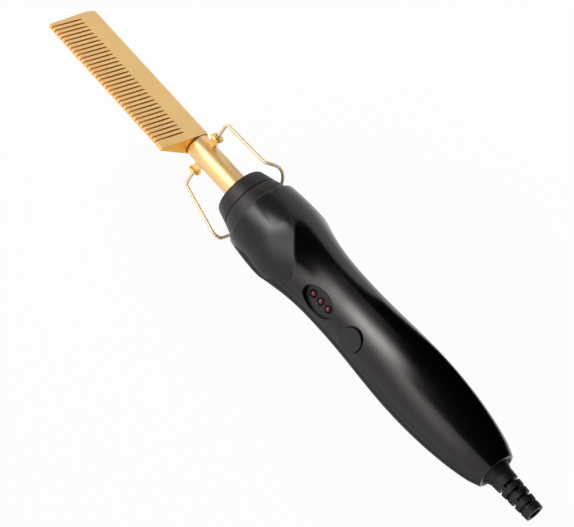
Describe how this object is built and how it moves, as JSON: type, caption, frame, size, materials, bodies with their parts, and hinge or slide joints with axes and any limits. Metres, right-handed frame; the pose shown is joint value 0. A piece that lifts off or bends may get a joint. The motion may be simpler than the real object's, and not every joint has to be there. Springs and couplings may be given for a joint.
{
  "type": "hot comb",
  "caption": "Electric hot comb: heated metal comb on a barrel with a folding wire stand, moulded handle with push button and indicator window, swivelling cord boot.",
  "frame": {"origin": "centre of the bounding box in plan, at the height of the handle's lowest point", "axes": "+X along the handle towards the comb's free end, +Z the way the teeth point, +Y to the left of someone looking along +X with the teeth up"},
  "size_m": [0.2988, 0.0448, 0.0432],
  "materials": {
    "comb_metal": "satin gold-coloured plating",
    "barrel_metal": "polished gold-coloured plating",
    "stand_metal": "gold-coloured plating on steel",
    "steel": "zinc-plated",
    "collar_plastic": "heat-resistant moulding, fine satin",
    "cap_plastic": "moulded satin",
    "handle_plastic": "soft-touch satin",
    "button_plastic": "moulded satin",
    "panel_plastic": "dark tinted, polished",
    "lamp_plastic": "red diffusing lens",
    "black_plastic": "moulded",
    "boot_rubber": "flexible moulding",
    "board": "glass-epoxy laminate with solder mask",
    "component": "moulded electronic parts",
    "capacitor_film": "film capacitor case",
    "capacitor_can": "sleeved aluminium can",
    "resistor_body": "ceramic body",
    "ceramic_heater": "heating ceramic",
    "heater_case": "drawn aluminium",
    "electrode_metal": "pressed sheet",
    "film": "polyimide film",
    "sensor_glass": "glass bead",
    "wire_white": "silicone insulation",
    "wire_red": "silicone insulation",
    "wire_brown": "insulation",
    "sleeve_glass": "woven glass sleeving",
    "insulator": "mica and ceramic insulation",
    "nylon": "moulded nylon",
    "contact_metal": "plain brass"
  },
  "bodies": {
    "main": {"comb_head": "comb_metal", "barrel_tube": "barrel_metal", "stand_lug_right": "barrel_metal", "stand_lug_left": "barrel_metal", "heater_cartridge": "heater_case", "insulating_film": "film", "heater_electrodes": "electrode_metal", "ceramic_elements": "ceramic_heater", "temperature_sensor": "sensor_glass", "heater_leads": "wire_white", "sensor_leads": "wire_red", "lead_sleeve": "sleeve_glass", "thermal_fuse": "insulator", "barrel_flange": "steel", "heat_washer": "insulator", "flange_screws": "steel", "front_collar": "collar_plastic", "rear_collar": "collar_plastic", "nose_cap": "cap_plastic", "front_shell": "handle_plastic", "back_shell": "handle_plastic", "shell_screws": "steel", "window_panel": "panel_plastic", "led_front": "lamp_plastic", "led_middle": "lamp_plastic", "led_rear": "lamp_plastic", "led_holder": "black_plastic", "switch_body": "steel", "circuit_board": "board", "board_screws": "steel", "control_chip": "component", "triac": "component", "film_capacitor": "capacitor_film", "smoothing_capacitor": "capacitor_can", "resistors": "resistor_body", "rectifier_diodes": "component", "contact_block": "nylon", "contact_springs": "contact_metal", "supply_leads": "wire_brown"},
    "stand": {"wire_stand": "stand_metal"},
    "button": {"button_cap": "button_plastic", "switch_plunger": "black_plastic"},
    "boot": {"cord_boot": "boot_rubber", "swivel_core": "nylon", "slip_rings": "contact_metal"}
  },
  "joints": [
    {"name": "stand_hinge", "type": "hinge", "parent": "main", "child": "stand", "pos_m": [0.06265, 0, 0.01835], "axis": [0, -1, 0], "range_deg": [0, 130]},
    {"name": "button_press", "type": "slide", "parent": "main", "child": "button", "axis": [0, 0, -1], "range_m": [0, 0.0006], "stiffness_N_per_m": 1500, "springref_m": -0.0003},
    {"name": "boot_swivel", "type": "hinge", "parent": "main", "child": "boot", "pos_m": [-0.12585, 0, 0.01835], "axis": [1, 0, 0], "continuous": true}
  ]
}
